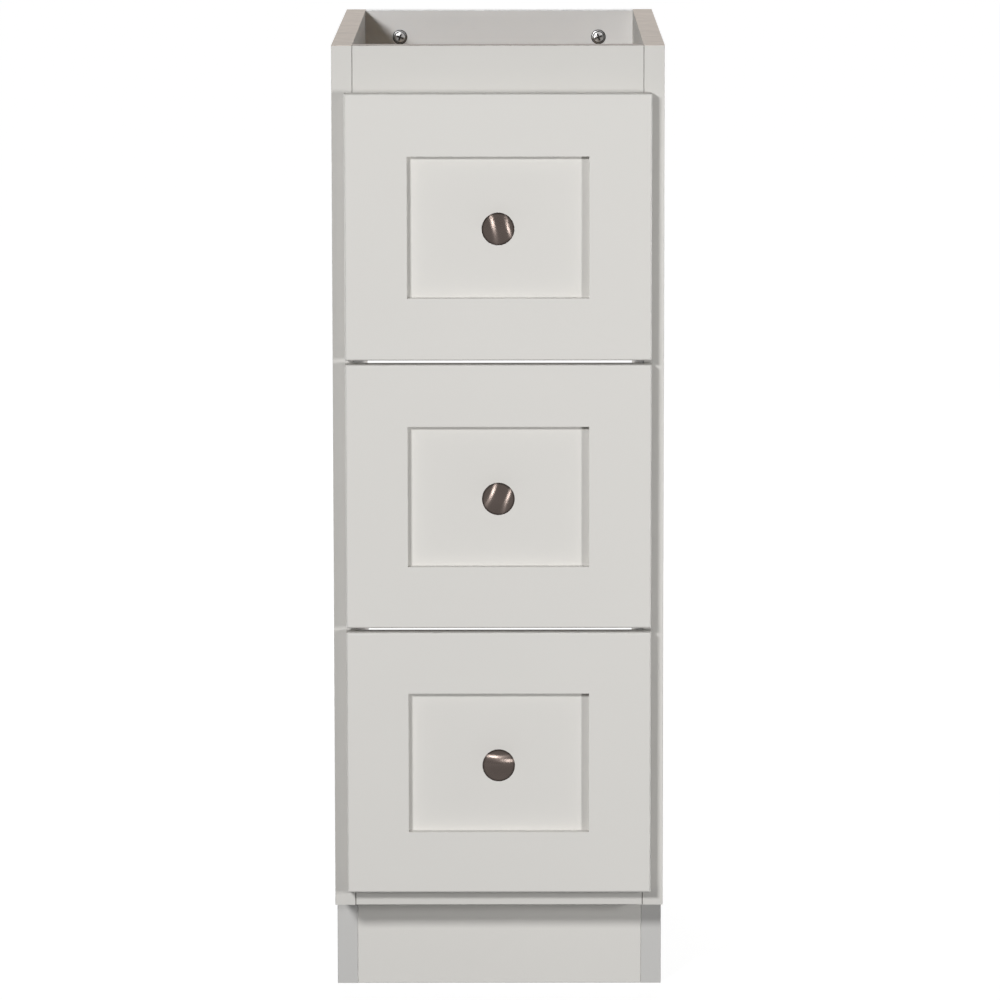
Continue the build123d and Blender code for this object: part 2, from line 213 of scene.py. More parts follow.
glow = put(tree, "ShaderNodeEmission", {"Strength": lift})
both = put(tree, "ShaderNodeAddShader", {0: matt.outputs[0], 1: glow.outputs[0]})
put(tree, "ShaderNodeOutputMaterial", {"Surface": both.outputs[0]})
floor_mesh.materials.append(floor_paint)
floor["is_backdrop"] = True
print("floor", 2 * floor_half, "m wide")

# %% [markdown]
# ## The studio lamps
# The shadows in the photograph tell where the lamps stood. The narrow shadow at the left of each sunk
# panel, the one under the case bottom and the slanting one on the rear rail belong to a lamp high on the
# left. The wider, paler shadow at the right of each panel belongs to a weaker lamp on the right, low
# enough to throw a thin line above the top front. Both are aimed below the floor, which evens out their
# light from top to foot. The upper edges of the case are bright and those of the fronts are not, so a
# third soft lamp hangs high behind, where the case shades the fronts from it. Two more stand low behind
# the cabinet, because the back and sides would be black without them.

# %% Lamps
def softbox(name, place, aim, size, watts):
    data = bpy.data.lights.new(name, "AREA")
    data.shape = "RECTANGLE"
    data.size, data.size_y = size
    data.energy = watts
    lamp = add_object(name, data)
    lamp.location = place
    lamp.rotation_euler = (Vector(aim) - Vector(place)).to_track_quat("-Z", "Y").to_euler()


front_foot = (0.0, -0.25, -0.5)
case_rim = (0.0, 0.0, 0.9)
rear_middle = (0.0, 0.28, 0.45)
softbox("High left lamp", place=(-1.50, -4.18, 2.05), aim=front_foot, size=(0.70, 0.50), watts=123)
softbox("Low right lamp", place=(1.95, -2.87, 0.66), aim=front_foot, size=(0.36, 0.60), watts=46)
softbox("High rear lamp", place=(0.0, 2.4, 3.2), aim=case_rim, size=(1.2, 1.2), watts=55)
softbox("Rear left lamp", place=(-3.3, 2.2, 0.60), aim=rear_middle, size=(1.0, 0.7), watts=56)
softbox("Rear right lamp", place=(3.3, 2.2, 0.60), aim=rear_middle, size=(1.0, 0.7), watts=56)

# %% [markdown]
# ## A sprayed lacquer, shared by every painted board
# Factory paint isn't a flat colour. It is a touch thicker here and thinner there, its gloss changes with
# it, and close up it has the fine dimples that spray leaves. An image could hold that, but noise on
# Object coordinates never shows a seam between two boards. The group gives a colour, a roughness and a
# height, and each painted material passes its own colour in.

# %% Shader group: sprayed lacquer
def new_group(kind, name, takes, gives):
    # Inputs and outputs are given as names with the kind of their socket
    group = bpy.data.node_groups.new(name, kind)
    for direction, sockets in (("INPUT", takes), ("OUTPUT", gives)):
        for label, socket_kind in sockets.items():
            group.interface.new_socket(label, in_out=direction, socket_type="NodeSocket" + socket_kind)
    print(name, "takes", list(takes))
    return group, put(group, "NodeGroupInput").outputs, put(group, "NodeGroupOutput")


surface_outputs = {"Colour": "Color", "Roughness": "Float", "Height": "Float"}
satin_roughness = 0.46
lacquer, given, result = new_group("ShaderNodeTree", "Sprayed lacquer", {
    "Vector": "Vector", "Paint": "Color", "Mottle": "Float", "Gloss spread": "Float"}, surface_outputs)
film = noise(lacquer, given["Vector"], scale=7.0, detail=4.0)
peel = noise(lacquer, given["Vector"], scale=420.0, detail=2.0)
uneven = calculate(lacquer, "SUBTRACT", film, 0.5)
tone = calculate(lacquer, "MULTIPLY_ADD", uneven, given["Mottle"], 1.0)
gloss = calculate(lacquer, "MULTIPLY_ADD", uneven, given["Gloss spread"], satin_roughness)
shade = scale_colour(lacquer, given["Paint"], tone)
feed(lacquer, result, {"Colour": shade, "Roughness": gloss, "Height": peel})

# %% [markdown]
# ## Grain for the drawer boxes and the dowels
# Maple is pale and quiet: long soft bands, fine fibres and short darker flecks, all running along the
# board. Wave rings would look like pine, so three noises are stretched along the grain instead. Each
# material stretches the coordinates for its own board before they reach the group.

# %% Shader group: board grain
grain, given, result = new_group("ShaderNodeTree", "Board grain", {
    "Vector": "Vector", "Pale wood": "Color", "Dark wood": "Color", "Flecks": "Float"}, surface_outputs)
drift = put(grain, "ShaderNodeTexNoise", {"Vector": given["Vector"], "Scale": 0.6, "Detail": 2.0})
drifted = {0: given["Vector"], 1: drift.outputs["Color"]}
bent = put(grain, "ShaderNodeVectorMath", drifted, operation="ADD").outputs[0]
bands = noise(grain, bent, scale=1.0, detail=3.0)
fibres = noise(grain, bent, scale=9.0, detail=4.0)
fleck = noise(grain, given["Vector"], scale=22.0, detail=1.0)
band_share = stretch(grain, bands, (0.35, 0.68), (0.0, 0.75))
fibre_share = stretch(grain, fibres, (0.40, 0.70), (0.0, 0.35))
fleck_spots = stretch(grain, fleck, (0.66, 0.72))
fleck_share = calculate(grain, "MULTIPLY", fleck_spots, given["Flecks"])
share = calculate(grain, "ADD", band_share, fibre_share)
share = calculate(grain, "ADD", share, fleck_share)
share = calculate(grain, "MINIMUM", share, 1.0)
wood_colour = blend_colours(grain, share, given["Pale wood"], given["Dark wood"])
wood_gloss = stretch(grain, fibres, usual_noise, (0.42, 0.56))
feed(grain, result, {"Colour": wood_colour, "Roughness": wood_gloss, "Height": fibres})

# %% [markdown]
# ## Lines that rolling or brushing leaves in metal
# Slides are rolled from strip, so they carry faint lines along their length and a cloudy zinc bloom.
# The knobs carry brush lines of the same kind. One group makes both: very long thin noise for the lines
# and a round noise for the bloom.

# %% Shader group: drawn metal
drawn, given, result = new_group("ShaderNodeTree", "Drawn metal", {
    "Line vector": "Vector", "Bloom vector": "Vector", "Metal": "Color",
    "Bloom": "Float", "Smooth": "Float", "Rough": "Float"}, surface_outputs)
lines = noise(drawn, given["Line vector"], scale=1.0, detail=3.0)
cloud = noise(drawn, given["Bloom vector"], scale=40.0, detail=3.0)
worn = calculate(drawn, "MULTIPLY", cloud, given["Bloom"])
line_tone = stretch(drawn, lines, usual_noise, (0.0, 0.16))
loss = calculate(drawn, "ADD", worn, line_tone)
kept = calculate(drawn, "SUBTRACT", 1.0, loss)
metal = scale_colour(drawn, given["Metal"], kept)
metal_gloss = stretch(drawn, lines, usual_noise, (given["Smooth"], given["Rough"]))
feed(drawn, result, {"Colour": metal, "Roughness": metal_gloss, "Height": lines})

# %% [markdown]
# ## Starting a material
# Every finish below begins alike: a Principled shader, Object coordinates so that the pattern is fixed to
# the board, and a Bump node for the height that the group puts out. The fixed numbers, such as metallic
# or anisotropy, are set on the shader itself.

# %% Helpers for materials
def start_material(name):
    made = bpy.data.materials.new(name)
    tree = fresh_tree(made)
    shader = put(tree, "ShaderNodeBsdfPrincipled")
    put(tree, "ShaderNodeOutputMaterial", {"Surface": shader.outputs[0]})
    place = put(tree, "ShaderNodeTexCoord").outputs["Object"]
    print("finish:", name)
    return made, tree, shader, place


def apply_group(tree, shader, group, inputs, depth, strength):
    # Puts a finish group into a material and links its colour, roughness and height
    surface = put(tree, "ShaderNodeGroup", inputs, node_tree=group).outputs
    bump = put(tree, "ShaderNodeBump", {
        "Height": surface["Height"], "Distance": depth, "Strength": strength})
    feed(tree, shader, {
        "Base Color": surface["Colour"], "Roughness": surface["Roughness"], "Normal": bump.outputs[0]})
    return surface


print("material helpers ready")

# %% [markdown]
# ## Warm grey paint on the fronts
# The fronts and the toe kick are a warm pale grey with a satin gloss. One helper sprays any colour, so
# the case and the rear rails can use the same lacquer in their own tone.

# %% Paint of the fronts
warm_grey = (0.694, 0.680, 0.651, 1.0)
paint_shine = 0.30
gloss_spread = 0.06
peel_depth = 0.00003
peel_strength = 0.35


def painted(name, colour, mottle):
    made, tree, shader, place = start_material(name)
    feed(tree, shader, {"Specular IOR Level": paint_shine})
    inputs = {"Vector": place, "Paint": colour, "Mottle": mottle, "Gloss spread": gloss_spread}
    sprayed = apply_group(tree, shader, lacquer, inputs, peel_depth, peel_strength)
    return made, tree, shader, place, sprayed


front_paint = painted("Warm grey paint on drawer fronts", warm_grey, mottle=0.03)[0]

# %% [markdown]
# ## Paint of the case, with its bare upper edges
# The upper edges of the case aren't painted to the same finish: a countertop hides them, so they show a
# dull, taupe, slightly blotchy board edge, which is darker on the front rail. They lie within half a
# millimetre of the top of the case, so a mask on the height in Object coordinates finds them without
# cutting the board into two pieces. Masks of the same kind find the greyer edges of the toe notch and the
# fine lines where a rail meets a side, which get painted shade for the groove there, deeper towards the
# bottom.

# %% Paint of the case
case_grey = (0.632, 0.619, 0.592, 1.0)
notch_grey = (0.560, 0.554, 0.542, 1.0)
bare_edge = (0.630, 0.550, 0.482)
rail_edge = (0.360, 0.315, 0.280, 1.0)
# Colour of the painted shade in the joint lines
joint_shade = (0.120, 0.112, 0.105, 1.0)
bare_roughness = 0.70
bare_depth = 0.0004
bare_tones = (0.92, 1.07)
joint_half = 0.0005
joint_core = 0.0003
# Share of painted shade in the joint lines, from the top of the bottom board up over this rise
joint_shade_by_height = (0.95, 0.55)
shade_rise = 0.02
skin = 0.0009
side_low, side_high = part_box("left_side_panel")
kick_low, kick_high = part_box("toe_kick_board")
side_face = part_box("right_side_panel")[0].x
deck_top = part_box("case_bottom")[1].z

case_paint, tree, shader, place, sprayed = painted("Warm grey paint on the case", case_grey, mottle=0.05)
split = put(tree, "ShaderNodeSeparateXYZ", {0: place}).outputs
bare_span = (side_high.z - bare_depth, side_high.z - bare_depth / 2)
at_top = stretch(tree, split["Z"], bare_span)
blotch = noise(tree, place, scale=45.0, detail=5.0)
edge = scale_colour(tree, bare_edge, stretch(tree, blotch, usual_noise, bare_tones))
beside = calculate(tree, "ABSOLUTE", split["X"])
between_sides = calculate(tree, "LESS_THAN", beside, side_face)
bare = blend_colours(tree, between_sides, edge, rail_edge)
with_edge = blend_colours(tree, at_top, sprayed["Colour"], bare)
dulled = put(tree, "ShaderNodeMix", {0: at_top, 2: sprayed["Roughness"], 3: bare_roughness})

# The two front edges of the toe notch, beside the kick board
below_case = calculate(tree, "LESS_THAN", split["Z"], kick_high.z)
near_kick = calculate(tree, "LESS_THAN", split["Y"], kick_low.y + skin)
in_notch = calculate(tree, "MULTIPLY", below_case, near_kick)
with_notch = blend_colours(tree, in_notch, with_edge, notch_grey)

# Painted shade along the fine line where a rail or the bottom meets a side, darker at the bottom
gap = calculate(tree, "ABSOLUTE", calculate(tree, "SUBTRACT", beside, side_face))
at_joint = stretch(tree, gap, (joint_half, joint_core))
at_front = calculate(tree, "LESS_THAN", split["Y"], side_low.y + skin)
painted_shade = stretch(tree, split["Z"], (deck_top, deck_top + shade_rise), joint_shade_by_height)
joint_share = calculate(tree, "MULTIPLY", at_joint, at_front)
joint_share = calculate(tree, "MULTIPLY", joint_share, painted_shade)
with_joint = blend_colours(tree, joint_share, with_notch, joint_shade)
feed(tree, shader, {"Base Color": with_joint, "Roughness": dulled.outputs[0]})

# %% [markdown]
# ## Undercoat on the rear rails
# The rear rails go against the wall, so they only have a pale undercoat with scuffs from handling. The
# scuffs are the peaks of a noise that is squeezed upright, so that they lie along the rail.

# %% Undercoat
undercoat = (0.880, 0.876, 0.868, 1.0)
scuff_grey = (0.480, 0.470, 0.460, 1.0)
scuff_scale = (9.0, 9.0, 60.0)
rail_paint, tree, shader, place, sprayed = painted("Undercoat on the rear rails", undercoat, mottle=0.06)
rubbed = noise(tree, scale_place(tree, place, scuff_scale), scale=1.0, detail=6.0)
scuffs = stretch(tree, rubbed, (0.64, 0.72), (0.0, 0.30))
feed(tree, shader, {"Base Color": blend_colours(tree, scuffs, sprayed["Colour"], scuff_grey)})

# %% [markdown]
# ## Maple for the drawer boxes and beech for the dowels
# A box side has its grain along the depth of the cabinet, a box front or back has it across, and so has
# the thin veneered bottom. The same grain group serves all of them: only the stretching of the
# coordinates changes, short across the grain and long along it. A face that looks along the grain is end
# grain, which drinks more lacquer and is darker: that is what makes the dovetails stand out.

# %% Wood materials
maple_pale = (0.78, 0.62, 0.43, 1.0)
maple_dark = (0.60, 0.43, 0.27, 1.0)
beech_pale = (0.66, 0.46, 0.29, 1.0)
beech_dark = (0.47, 0.30, 0.18, 1.0)
side_to_side = 0
front_to_back = 1
across_grain = 26.0
along_grain = 1.6
fibre_depth = 0.00006
fibre_strength = 0.4
end_grain_shades = (0.52, 0.72)


def wood_material(name, axis, pale, dark, flecks):
    made, tree, shader, place = start_material(name)
    scale = [across_grain] * 3
    scale[axis] = along_grain
    along_board = scale_place(tree, place, scale)
    inputs = {"Vector": along_board, "Pale wood": pale, "Dark wood": dark, "Flecks": flecks}
    sawn = apply_group(tree, shader, grain, inputs, fibre_depth, fibre_strength)
    facing = put(tree, "ShaderNodeTexCoord").outputs["Normal"]
    parts = put(tree, "ShaderNodeSeparateXYZ", {0: facing})
    end_on = calculate(tree, "ABSOLUTE", parts.outputs[axis])
    end_share = stretch(tree, end_on, (0.85, 0.95))
    pores = noise(tree, place, scale=900.0, detail=2.0)
    end_wood = scale_colour(tree, sawn["Colour"], stretch(tree, pores, usual_noise, end_grain_shades))
    feed(tree, shader, {"Base Color": blend_colours(tree, end_share, sawn["Colour"], end_wood)})
    return made


maple_deep = wood_material("Maple grain front to back", front_to_back, maple_pale, maple_dark, flecks=0.20)
maple_wide = wood_material("Maple grain side to side", side_to_side, maple_pale, maple_dark, flecks=0.20)
beech_wide = wood_material("Beech dowel grain", side_to_side, beech_pale, beech_dark, flecks=0.55)

# %% [markdown]
# ## Zinc plate and bright steel
# Slides and screws are zinc plated, and the balls of the slides are bright. All three use the drawn metal
# group with their own colour and gloss. Painted shade darkens the cross recesses, the groove round the head
# and the edge of the washers of the screws: an attribute that the screw carries on its points says where.

# %% Steel materials
# Colour of the painted shade in the screws' recesses, head groove and washer edges
recess_painted_shade = (0.030, 0.028, 0.026, 1.0)
metal_strength = 0.4
strip_lines = (900, 5, 900)
even_lines = (400, 400, 400)


def metal_material(name, colour, bloom, smooth, rough, line_scale=even_lines, depth=0.00001):
    made, tree, shader, place = start_material(name)
    feed(tree, shader, {"Metallic": 1.0})
    inputs = {
        "Line vector": scale_place(tree, place, line_scale), "Bloom vector": place, "Metal": colour,
        "Bloom": bloom, "Smooth": smooth, "Rough": rough}
    rolled = apply_group(tree, shader, drawn, inputs, depth, metal_strength)
    return made, tree, shader, rolled


zinc = metal_material(
    "Zinc plated slide", (0.50, 0.515, 0.53, 1.0), bloom=0.30, smooth=0.26, rough=0.42,
    line_scale=strip_lines, depth=0.00002)[0]
bright = metal_material(
    "Bright steel", (0.66, 0.66, 0.66, 1.0), bloom=0.10, smooth=0.10, rough=0.20)[0]
plated, tree, shader, rolled = metal_material(
    "Plated screw", (0.62, 0.62, 0.62, 1.0), bloom=0.12, smooth=0.28, rough=0.40)
# The recess attribute says where painted shade darkens the screw
recess = put(tree, "ShaderNodeAttribute", attribute_name="recess").outputs["Fac"]
feed(tree, shader, {"Base Color": blend_colours(tree, recess, rolled["Colour"], recess_painted_shade)})

# %% [markdown]
# ## Brushed nickel and clear rubber
# The knobs are a satin nickel that was brushed in one straight direction, which pulls each lamp's
# reflection out into a bright streak across the brush lines. The shader's anisotropy does that, and a UV
# map on the knob gives it the direction. The nickel's colour is darkened as a painted dark reflection of
# the surroundings, and a darker painted reflection round the rim is a mask on the same map. The little
# stops behind the fronts are clear soft rubber: the lacquer group gives it a moulded, uneven skin.

# %% Nickel and rubber materials
# Nickel darkened as a painted reflection of dark surroundings
nickel_painted_dark = (0.125, 0.101, 0.090, 1.0)
edge_tint = (0.25, 0.22, 0.20, 1.0)
# Colour of the painted dark reflection round the rim
rim_painted_reflection = (0.020, 0.016, 0.014, 1.0)
brush_lines = (160.0, 6.0, 1.0)
nickel, tree, shader, place = start_material("Dark brushed nickel")
feed(tree, shader, {"Metallic": 1.0, "Anisotropic": 1.0, "Specular Tint": edge_tint})
brush_uv = put(tree, "ShaderNodeUVMap", uv_map="Brush").outputs["UV"]
brushed = apply_group(tree, shader, drawn, {
    "Line vector": scale_place(tree, brush_uv, brush_lines), "Bloom vector": place, "Metal": nickel_painted_dark,
    "Bloom": 0.25, "Smooth": 0.250, "Rough": 0.290}, depth=0.00002, strength=0.5)
from_axis = put(tree, "ShaderNodeVectorMath", {0: brush_uv}, operation="LENGTH").outputs["Value"]
# Painted dark reflection towards the rim of the dome
at_rim = stretch(tree, from_axis, (0.86, 0.97), (0.0, 0.75))
along_streak = put(tree, "ShaderNodeTangent", direction_type="UV_MAP", uv_map="Brush")
feed(tree, shader, {
    "Base Color": blend_colours(tree, at_rim, brushed["Colour"], rim_painted_reflection),
    "Tangent": along_streak.outputs["Tangent"]})

rubber_clear = (0.86, 0.87, 0.85, 1.0)
rubber, tree, shader, place = start_material("Clear rubber stop")
feed(tree, shader, {"Transmission Weight": 0.55, "IOR": 1.45})
moulded = {"Vector": place, "Paint": rubber_clear, "Mottle": 0.08, "Gloss spread": 0.2}
apply_group(tree, shader, lacquer, moulded, depth=0.00002, strength=0.3)

# %% [markdown]
# ## Turning a piece on a lathe
# Knobs, screws and stops are all round, so one helper builds a mesh from rings of points, from the foot
# to the top, and closes each end with a single point. A ring doesn't have to be a circle: a screw's
# thread and cross recess are rings whose radius changes with the angle.

# %% Helpers for turned pieces
def turned_mesh(name, rings):
    mesh = bpy.data.meshes.new(name)
    shape = bmesh.new()
    rows = [[shape.verts.new(point) for point in ring] for ring in rings]
    for lower, upper in zip(rows[:-1], rows[1:]):
        count = max(len(lower), len(upper))
        for i in range(count):
            j = (i + 1) % count
            if len(lower) == 1:
                shape.faces.new((lower[0], upper[j], upper[i]))
            elif len(upper) == 1:
                shape.faces.new((lower[i], lower[j], upper[0]))
            else:
                shape.faces.new((lower[i], lower[j], upper[j], upper[i]))
    bmesh.ops.recalc_face_normals(shape, faces=shape.faces)
    for face in shape.faces:
        face.smooth = True
    shape.to_mesh(mesh)
    shape.free()
    mesh.set_sharp_from_angle(angle=math.radians(38))
    return mesh


def shaped_ring(sides, height, radius_at):
    # The radius may change with the share of a full turn
    ring = []
    for i in range(sides):
        angle = 2 * math.pi * i / sides
        radius = radius_at(i / sides)
        ring.append((radius * math.cos(angle), radius * math.sin(angle), height))
    return ring


def round_ring(radius, height, sides):
    if radius == 0:
        return [(0.0, 0.0, height)]
    return shaped_ring(sides, height, lambda turn: radius)


def hand_over(piece, body, node):
    # The piece moves with a body and takes the place of a construction node
    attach(piece, body)
    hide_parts(node)
    print(piece.name, "on", body, "has", len(piece.data.polygons), "faces")


print("lathe helpers ready")

# %% [markdown]
# ## The three knobs
# Each knob is a mushroom of dark brushed metal: a small foot on the panel, a waist, a flare and a shallow
# dome with a fine rim. It is turned from the same profile as the construction knob, with many more rings
# for a clean highlight. The knobs were screwed on with no care for their brush lines, so the streaks run
# a different way on each one: that is the angle of the UV map. The photograph shows no shadow of them on
# the panels, so they throw none here.

# %% Knobs
knob_sides = 96
dome_rings = 18
flare_rings = 12
knob_radius = 0.0150
knob_rim = 0.0212
knob_length = 0.0254
rim_round = 0.0006
rim_ease = 0.0001
# Radius and height of the foot and the waist, from the panel outwards
knob_stem = [
    (0.0000, 0.0000), (0.0073, 0.0000), (0.0075, 0.0002), (0.0075, 0.0018),
    (0.0072, 0.0022), (0.0055, 0.0040), (0.0055, 0.0090),
]
streak_angles = {"top": 104.0, "middle": 68.0, "bottom": -4.0}


def knob_profile():
    # Radius and height pairs from the foot to the top of the dome
    profile = list(knob_stem)
    waist, flare_start = knob_stem[-1]
    rise = knob_rim - 2 * rim_round - flare_start
    reach = knob_radius - rim_round - waist
    flare_radius = (rise * rise + reach * reach) / (2 * reach)
    for i in range(1, flare_rings + 1):
        climb = rise * i / flare_rings
        radius = waist + flare_radius - math.sqrt(flare_radius ** 2 - climb ** 2)
        profile.append((radius, flare_start + climb))
    profile.append((knob_radius - rim_ease, knob_rim - rim_round))
    profile.append((knob_radius, knob_rim - rim_round / 2))
    dome_height = knob_length - knob_rim
    dome_radius = (knob_radius ** 2 + dome_height ** 2) / (2 * dome_height)
    for i in range(dome_rings):
        radius = knob_radius * math.cos(math.pi / 2 * i / dome_rings)
        profile.append((radius, knob_length - dome_radius + math.sqrt(dome_radius ** 2 - radius ** 2)))
    profile.append((0.0, knob_length))
    return profile


for drawer in drawers:
    low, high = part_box(drawer + "_knob")
    centre = (low + high) / 2
    rings = []
    for radius, height in knob_profile():
        ring = round_ring(radius, height, knob_sides)
        rings.append([(x + centre.x, high.y - z, y + centre.z) for x, y, z in ring])
    mesh = turned_mesh(drawer + "_brushed_knob", rings)
    streak = math.radians(streak_angles[drawer])
    along = Vector((math.cos(streak), 0.0, math.sin(streak)))
    across = Vector((-math.sin(streak), 0.0, math.cos(streak)))
    brush = mesh.uv_layers.new(name="Brush")
    for loop in mesh.loops:
        offset = mesh.vertices[loop.vertex_index].co - centre
        brush.data[loop.index].uv = (offset.dot(along) / knob_radius, offset.dot(across) / knob_radius)
    mesh.materials.append(nickel)
    knob = add_object(drawer + "_brushed_knob", mesh)
    knob.visible_shadow = False
    hand_over(knob, drawer + "_drawer", drawer + "_knob")

# %% [markdown]
# ## A screw to copy
# Every screw here is a pan head with a cross recess and a threaded shank. The thread is a ridge that
# climbs round the shank: at each angle the ring's radius depends on how far the ridge has climbed. The
# recess is three rings in the shape of a cross, each smaller and deeper than the last. Every ring also
# has a share of painted shade, which its points keep as the attribute that the plated material reads.

# %% Screw shape
screw_sides = 32
shank_radius = 0.0019
point_length = 0.0040
smooth_neck = 0.0006
thread_pitch = 0.0016
thread_depth = 0.00045
ridge_share = 0.5
rings_per_turn = 4
# Washer radius share, height above the seat and painted shade, from its edge to the groove round the head
washer_shape = [
    (1.00, 0.0000, 1.0), (1.00, 0.0005, 1.0), (0.93, 0.0009, 1.0), (0.87, 0.0011, 0.9),
    (0.85, 0.0011, 0.0), (0.81, 0.0012, 0.0), (0.79, 0.0009, 1.0), (0.75, 0.0009, 1.0),
]
# Shares of the head's height where its side is drawn, from the shoulder up, and of its radius at the top
head_levels = (0.55, 0.75, 0.90)
head_crown = 0.60
# Share of the cross recess, share of the head's height and painted shade, from its edge to its floor
recess_shape = [(1.0, 1.0, 0.35), (0.86, 0.85, 1.0), (0.70, 0.45, 1.0)]
recess_floor = 0.35
arm_length = 0.70
arm_width = 0.32
inner_corner = 0.62


def thread_ring(height, taper):
    def radius_at(turn):
        climbed = (height / thread_pitch - turn) % 1.0
        ridge = thread_depth * max(0.0, 1.0 - 2 * abs(climbed - 0.5) / ridge_share)
        return (shank_radius - thread_depth + ridge) * taper
    return shaped_ring(screw_sides, height, radius_at)


def cross_ring(head_radius, shrink, height):
    arm = head_radius * arm_length
    width = head_radius * arm_width

    def radius_at(turn):
        # Distance from the axis to the edge of a cross with rounded inner corners
        quarter = 2 * math.pi * turn % (math.pi / 2)
        from_arm = min(quarter, math.pi / 2 - quarter)
        along_arm = width / 2 / max(math.sin(from_arm), 0.001)
        return min(arm / math.cos(from_arm), max(along_arm, width * inner_corner)) * shrink
    return shaped_ring(screw_sides, height, radius_at)


def store(mesh, label, values):
    # Keeps a number or a vector on each point of a mesh
    single = isinstance(values[0], float)
    layer = mesh.attributes.new(label, "FLOAT" if single else "FLOAT_VECTOR", "POINT")
    for item, value in zip(layer.data, values):
        setattr(item, "value" if single else "vector", value)


def screw_mesh(name, head_radius, head_height, length, washer_radius=0.0):
    # Each layer is a ring and its share of painted shade, from the point up to the floor of the recess
    layers = [([(0.0, 0.0, -length)], 0.0)]

    def add_ring(radius, height, painted_shade=0.0):
        layers.append((round_ring(radius, height, screw_sides), painted_shade))

    for i in range(1, int((length - smooth_neck) / thread_pitch * rings_per_turn) + 1):
        height = -length + i * thread_pitch / rings_per_turn
        layers.append((thread_ring(height, min(1.0, (height + length) / point_length)), 0.0))
    add_ring(shank_radius, 0.0)
    if washer_radius > 0:
        for share, height, painted_shade in washer_shape:
            add_ring(washer_radius * share, height, painted_shade)
        add_ring(head_radius, washer_shape[-1][1], painted_shade=1.0)
    else:
        add_ring(head_radius, 0.0, painted_shade=0.5)
    shoulder = head_levels[0]
    for level in head_levels:
        bulge = math.sqrt(1.0 - ((level - shoulder) / shoulder) ** 2)
        add_ring(head_radius * (head_crown + (1.0 - head_crown) * bulge), head_height * level)
    for shrink, share, painted_shade in recess_shape:
        layers.append((cross_ring(head_radius, shrink, head_height * share), painted_shade))
    layers.append(([(0.0, 0.0, head_height * recess_floor)], 1.0))
    mesh = turned_mesh(name, [ring for ring, painted_shade in layers])
    store(mesh, "recess", [painted_shade for ring, painted_shade in layers for point in ring])
    return mesh


print("screw helpers ready")

# %% [markdown]
# ## Small parts on their seats, with Geometry Nodes
# Screws and rubber stops repeat all over the cabinet. Geometry Nodes copy one part to every seat: each
# point of the incoming mesh is a seat, and the attribute called turn says which way the part faces there.
# Copying by hand would give the same picture, but a tree can be reused with another part or more seats.
# The copies are made real at the end, because an exported file drops instances.

# %% Geometry Nodes: parts on seats
def new_modifier(name, takes):
    shape = {"Geometry": "Geometry"}
    takes = {**shape, **takes, "Finish": "Material"}
    tree, given, result = new_group("GeometryNodeTree", name, takes, shape)
    tree.is_modifier = True
    return tree, given, result


def step(tree, kind, inputs, **options):
    # Adds a node and gives its first output
    return put(tree, "GeometryNode" + kind, inputs, **options).outputs[0]


def end_modifier(tree, shape, given, result):
    real = step(tree, "RealizeInstances", {0: shape})
    feed(tree, result, {0: step(tree, "SetMaterial", {"Geometry": real, "Material": given["Finish"]})})
    return tree


def shape_of(tree, object_input):
    return put(tree, "GeometryNodeObjectInfo", {"Object": object_input}).outputs["Geometry"]


def point_mesh(name, points, edges=(), **attributes):
    mesh = bpy.data.meshes.new(name)
    mesh.from_pydata(points, edges, [])
    for label, values in attributes.items():
        store(mesh, label, values)
    return mesh


def run_tree(name, seed, tree, values):
    # Runs a tree on a small mesh and keeps the result as a plain mesh at the origin
    piece = add_object(name, seed)
    modifier = piece.modifiers.new(tree.name, "NODES")
    modifier.node_group = tree
    for socket in tree.interface.items_tree:
        if socket.in_out == "INPUT" and socket.name in values:
            modifier[socket.identifier] = values[socket.name]
    graph = bpy.context.evaluated_depsgraph_get()
    plain = bpy.data.meshes.new_from_object(piece.evaluated_get(graph))
    piece.modifiers.clear()
    piece.data = plain
    plain.name = name
    return piece


tree, given, result = new_modifier("Parts on seats", {"Part": "Object"})
part = shape_of(tree, given["Part"])
facing = step(tree, "InputNamedAttribute", {"Name": "turn"}, data_type="FLOAT_VECTOR")
turned = put(tree, "FunctionNodeEulerToRotation", {0: facing}).outputs[0]
copies = step(tree, "InstanceOnPoints", {"Points": given["Geometry"], "Instance": part, "Rotation": turned})
seats_tree = end_modifier(tree, copies, given, result)

# %% [markdown]
# ## Screws of the case
# Two washer-head screws show on the rear rail, and eighteen flat ones hold the slides to the case. The
# rail screws' places are read from the construction model. Those of the slides follow from the slides'
# ends and heights, so they would move along if the slides were longer.

# %% Screws of the case
quarter_turn = math.pi / 2
towards = {
    "front": (quarter_turn, 0.0, 0.0),
    "rear": (-quarter_turn, 0.0, 0.0),
    "right": (0.0, quarter_turn, 0.0),
    "left": (0.0, -quarter_turn, 0.0),
}
rail_lean = 20.0
steel_sheet = 0.0012
screw_margin = 0.040
pan_radius = 0.0040
pan_head = 0.0024
flat_head = 0.0010


def mid_height(node):
    low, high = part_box(node)
    return (low.z + high.z) / 2


def place_parts(name, part_mesh, seats, finish, body, node):
    pattern = add_object(name + "_pattern", part_mesh)
    places, turns = zip(*seats)
    seed = point_mesh(name, places, turn=turns)
    piece = run_tree(name, seed, seats_tree, {"Part": pattern, "Finish": finish})
    bpy.data.objects.remove(pattern)
    hand_over(piece, body, node)


def place_screws(name, part_mesh, seats, body, node):
    place_parts(name, part_mesh, seats, plated, body, node)


